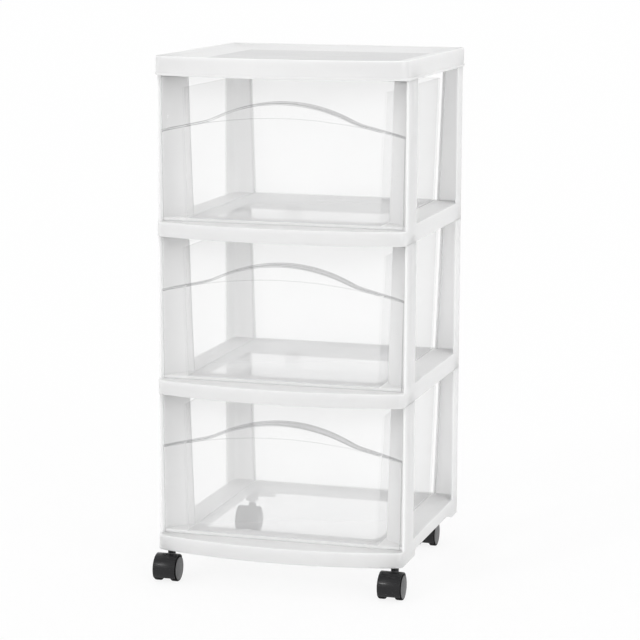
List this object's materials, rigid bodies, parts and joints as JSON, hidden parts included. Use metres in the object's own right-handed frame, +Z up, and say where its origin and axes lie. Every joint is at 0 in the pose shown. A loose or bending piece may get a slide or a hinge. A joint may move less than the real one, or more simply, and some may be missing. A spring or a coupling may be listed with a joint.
{
  "type": "rolling drawer tower",
  "caption": "White plastic rolling drawer tower with clear pull-out drawers in stacked open frames, a shallow top tray and hooded swivel casters",
  "frame": {"origin": "on the floor, under the middle of the tower", "axes": "+Z up, the drawer fronts face -Y, the width runs along X"},
  "size_m": [0.326, 0.334, 0.665],
  "materials": {
    "white_plastic": "moulded, satin",
    "clear_plastic": "clear, polished",
    "black_nylon": "fine grained",
    "wheel_nylon": "satin",
    "plated_steel": "plated"
  },
  "bodies": {
    "frame": {"top_tray": "white_plastic", "upper_frame": "white_plastic", "middle_frame": "white_plastic", "base_frame": "white_plastic", "stem_fl": "plated_steel", "stem_fr": "plated_steel", "stem_bl": "plated_steel", "stem_br": "plated_steel"},
    "upper_drawer": {"drawer_upper": "clear_plastic"},
    "middle_drawer": {"drawer_middle": "clear_plastic"},
    "lower_drawer": {"drawer_lower": "clear_plastic"},
    "caster_fl": {"hood_fl": "black_nylon", "axle_fl": "plated_steel"},
    "wheel_fl_left": {"wheel_fl_left": "wheel_nylon"},
    "wheel_fl_right": {"wheel_fl_right": "wheel_nylon"},
    "caster_fr": {"hood_fr": "black_nylon", "axle_fr": "plated_steel"},
    "wheel_fr_left": {"wheel_fr_left": "wheel_nylon"},
    "wheel_fr_right": {"wheel_fr_right": "wheel_nylon"},
    "caster_bl": {"hood_bl": "black_nylon", "axle_bl": "plated_steel"},
    "wheel_bl_left": {"wheel_bl_left": "wheel_nylon"},
    "wheel_bl_right": {"wheel_bl_right": "wheel_nylon"},
    "caster_br": {"hood_br": "black_nylon", "axle_br": "plated_steel"},
    "wheel_br_left": {"wheel_br_left": "wheel_nylon"},
    "wheel_br_right": {"wheel_br_right": "wheel_nylon"}
  },
  "joints": [
    {"name": "upper_drawer_slide", "type": "slide", "parent": "frame", "child": "upper_drawer", "axis": [0, -1, 0], "range_m": [0, 0.247]},
    {"name": "middle_drawer_slide", "type": "slide", "parent": "frame", "child": "middle_drawer", "axis": [0, -1, 0], "range_m": [0, 0.247]},
    {"name": "lower_drawer_slide", "type": "slide", "parent": "frame", "child": "lower_drawer", "axis": [0, -1, 0], "range_m": [0, 0.247]},
    {"name": "caster_fl_swivel", "type": "hinge", "parent": "frame", "child": "caster_fl", "pos_m": [-0.147, -0.126, 0.034], "axis": [0, 0, 1], "continuous": true},
    {"name": "wheel_fl_left_spin", "type": "hinge", "parent": "caster_fl", "child": "wheel_fl_left", "pos_m": [-0.147, -0.141, 0.0165], "axis": [1, 0, 0], "continuous": true},
    {"name": "wheel_fl_right_spin", "type": "hinge", "parent": "caster_fl", "child": "wheel_fl_right", "pos_m": [-0.147, -0.141, 0.0165], "axis": [1, 0, 0], "continuous": true},
    {"name": "caster_fr_swivel", "type": "hinge", "parent": "frame", "child": "caster_fr", "pos_m": [0.147, -0.126, 0.034], "axis": [0, 0, 1], "continuous": true},
    {"name": "wheel_fr_left_spin", "type": "hinge", "parent": "caster_fr", "child": "wheel_fr_left", "pos_m": [0.147, -0.141, 0.0165], "axis": [1, 0, 0], "continuous": true},
    {"name": "wheel_fr_right_spin", "type": "hinge", "parent": "caster_fr", "child": "wheel_fr_right", "pos_m": [0.147, -0.141, 0.0165], "axis": [1, 0, 0], "continuous": true},
    {"name": "caster_bl_swivel", "type": "hinge", "parent": "frame", "child": "caster_bl", "pos_m": [-0.125, 0.141, 0.034], "axis": [0, 0, 1], "continuous": true},
    {"name": "wheel_bl_left_spin", "type": "hinge", "parent": "caster_bl", "child": "wheel_bl_left", "pos_m": [-0.125, 0.126, 0.0165], "axis": [1, 0, 0], "continuous": true},
    {"name": "wheel_bl_right_spin", "type": "hinge", "parent": "caster_bl", "child": "wheel_bl_right", "pos_m": [-0.125, 0.126, 0.0165], "axis": [1, 0, 0], "continuous": true},
    {"name": "caster_br_swivel", "type": "hinge", "parent": "frame", "child": "caster_br", "pos_m": [0.125, 0.141, 0.034], "axis": [0, 0, 1], "continuous": true},
    {"name": "wheel_br_left_spin", "type": "hinge", "parent": "caster_br", "child": "wheel_br_left", "pos_m": [0.125, 0.126, 0.0165], "axis": [1, 0, 0], "continuous": true},
    {"name": "wheel_br_right_spin", "type": "hinge", "parent": "caster_br", "child": "wheel_br_right", "pos_m": [0.125, 0.126, 0.0165], "axis": [1, 0, 0], "continuous": true}
  ]
}
